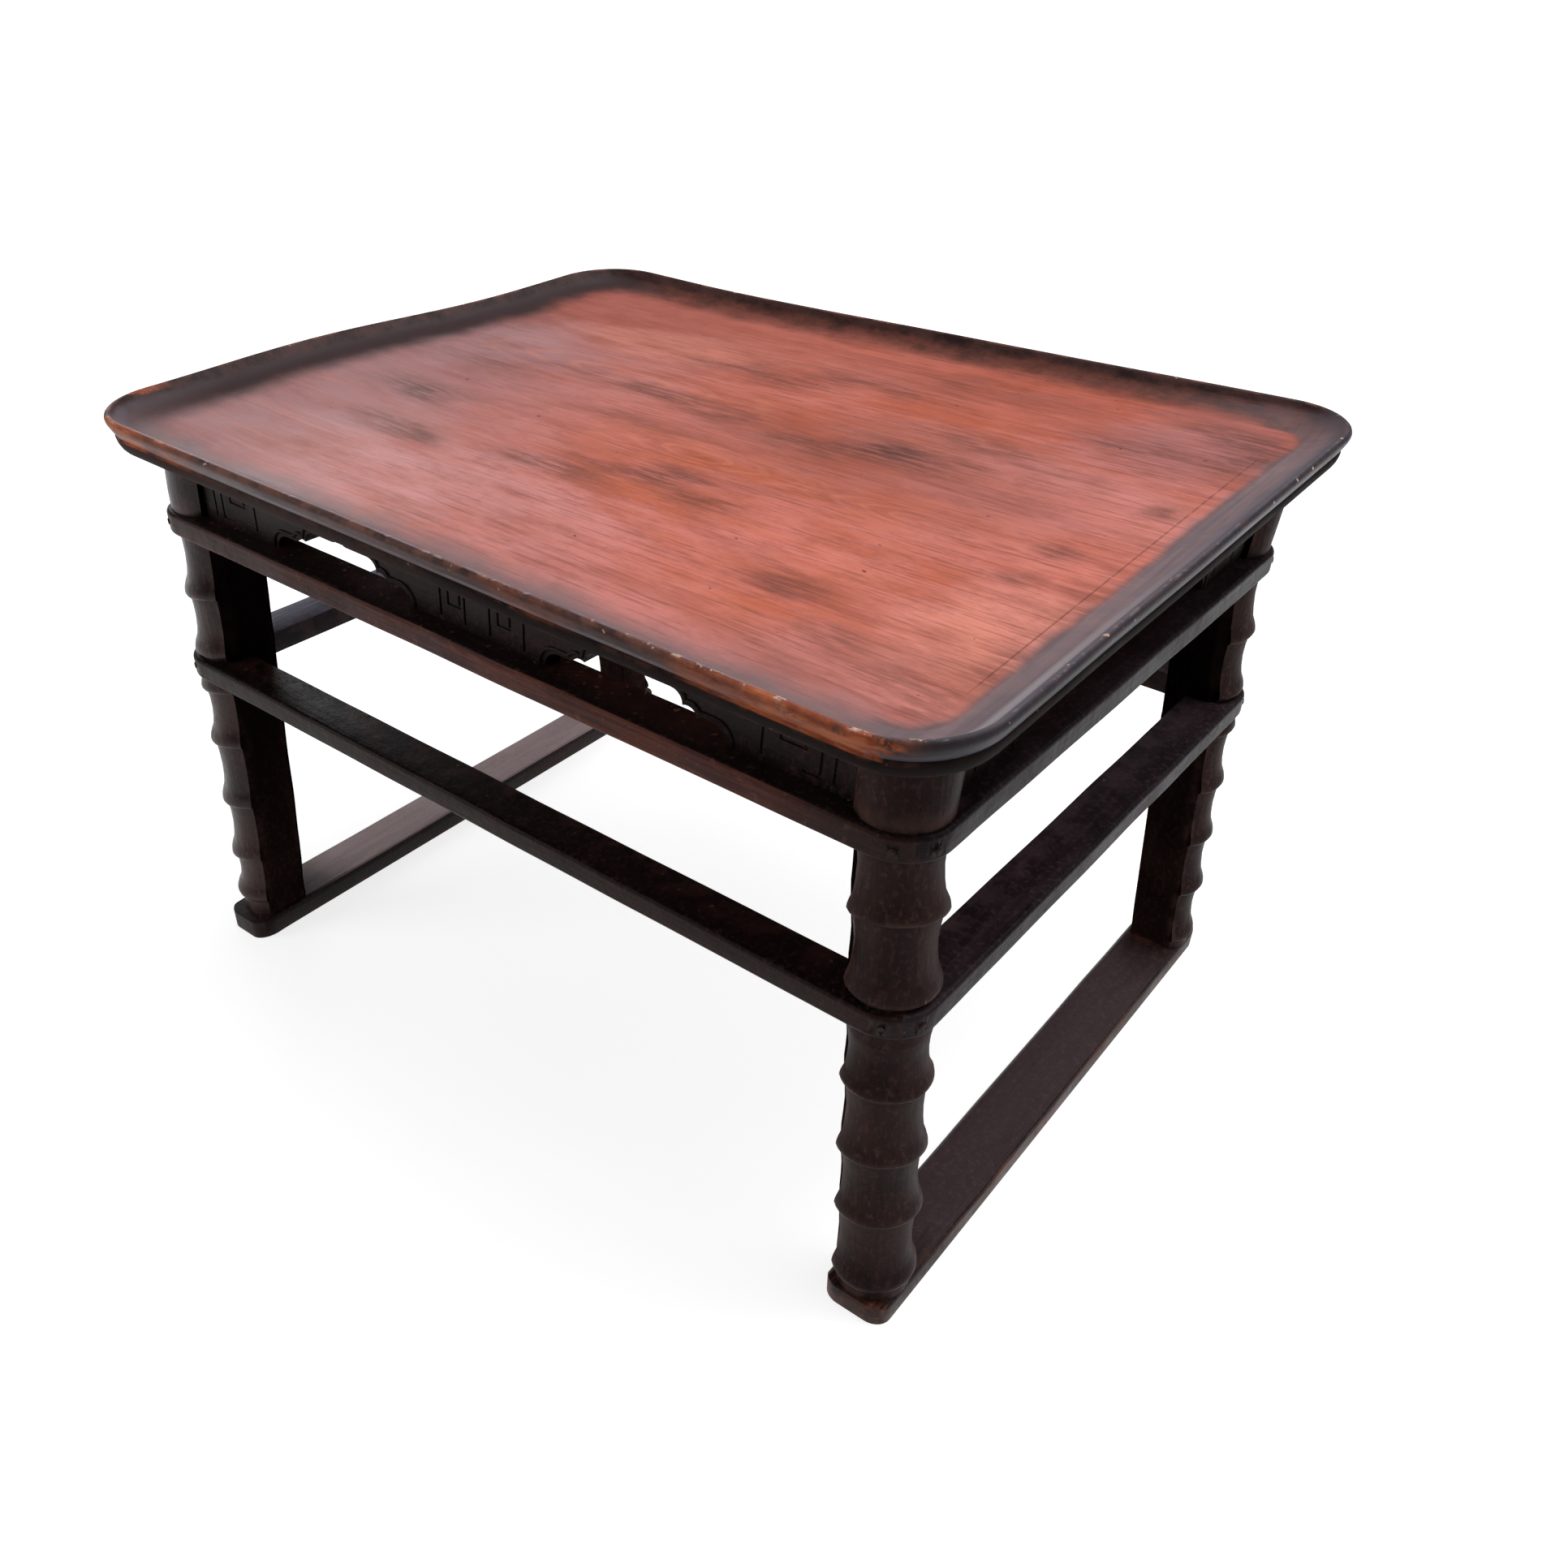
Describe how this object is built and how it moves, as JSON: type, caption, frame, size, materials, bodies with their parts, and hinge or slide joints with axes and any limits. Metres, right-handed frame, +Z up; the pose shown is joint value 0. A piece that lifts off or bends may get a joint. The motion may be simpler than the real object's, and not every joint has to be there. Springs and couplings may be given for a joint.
{
  "type": "low tray table",
  "caption": "Low wooden tray table with a dished top, bamboo carved legs, wrapped rails, pierced aprons and foot rails.",
  "frame": {"origin": "on the ground under the middle of the tray", "axes": "+X along the tray's length, +Y across it, +Z up"},
  "size_m": [0.48, 0.357, 0.307],
  "materials": {
    "tray_lacquer": "worn red lacquer with dark rim",
    "leg_lacquer": "worn dark brown lacquer",
    "apron_lacquer": "worn dark brown lacquer",
    "rail_lacquer": "worn dark brown lacquer",
    "peg_bamboo": "worn bamboo"
  },
  "bodies": {
    "root": {"tray_top": "tray_lacquer", "leg_front_left": "leg_lacquer", "leg_front_right": "leg_lacquer", "leg_back_left": "leg_lacquer", "leg_back_right": "leg_lacquer", "apron_front": "apron_lacquer", "apron_back": "apron_lacquer", "apron_left": "apron_lacquer", "apron_right": "apron_lacquer", "upper_rail_front": "rail_lacquer", "upper_rail_back": "rail_lacquer", "upper_rail_left": "rail_lacquer", "upper_rail_right": "rail_lacquer", "lower_rail_front": "rail_lacquer", "lower_rail_back": "rail_lacquer", "lower_rail_left": "rail_lacquer", "lower_rail_right": "rail_lacquer", "foot_rail_left": "rail_lacquer", "foot_rail_right": "rail_lacquer", "upper_rail_pegs": "peg_bamboo", "lower_rail_pegs": "peg_bamboo"}
  },
  "joints": []
}
